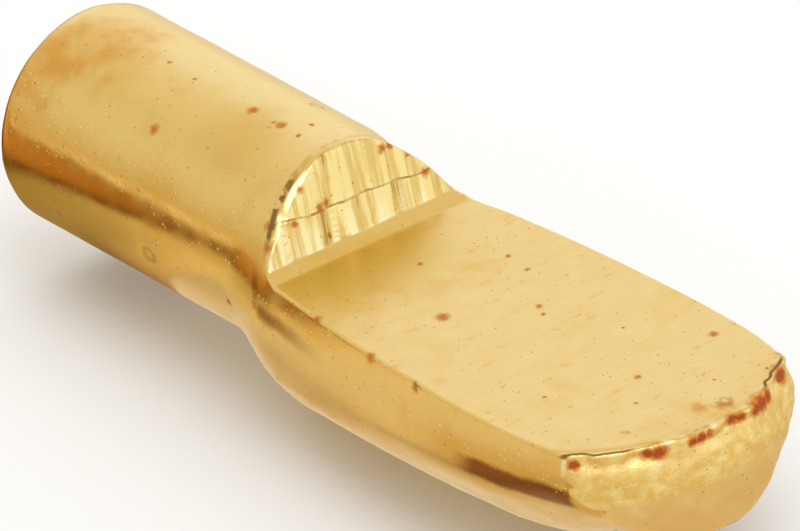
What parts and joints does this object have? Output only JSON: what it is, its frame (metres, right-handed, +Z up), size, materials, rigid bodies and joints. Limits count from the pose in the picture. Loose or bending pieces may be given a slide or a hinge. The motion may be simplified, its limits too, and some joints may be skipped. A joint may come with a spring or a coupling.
{
  "type": "shelf support pin",
  "caption": "Spoon-style shelf support pin: a round shank that plugs into a cabinet hole and a flat-topped, round-bellied paddle that carries the shelf.",
  "frame": {"origin": "on the shank's axis, where the heel first swells out of the shank: the plane of the cabinet wall when the pin is pushed home", "axes": "+X along the shank's axis towards the paddle's tip, +Y across the seat, +Z up out of the seat"},
  "size_m": [0.0254, 0.008, 0.0073],
  "materials": {
    "plated_steel": "thin bright brass plating over pressed steel, with fine pores and small rust spots"
  },
  "bodies": {
    "root": {"pin": "plated_steel"}
  },
  "joints": []
}
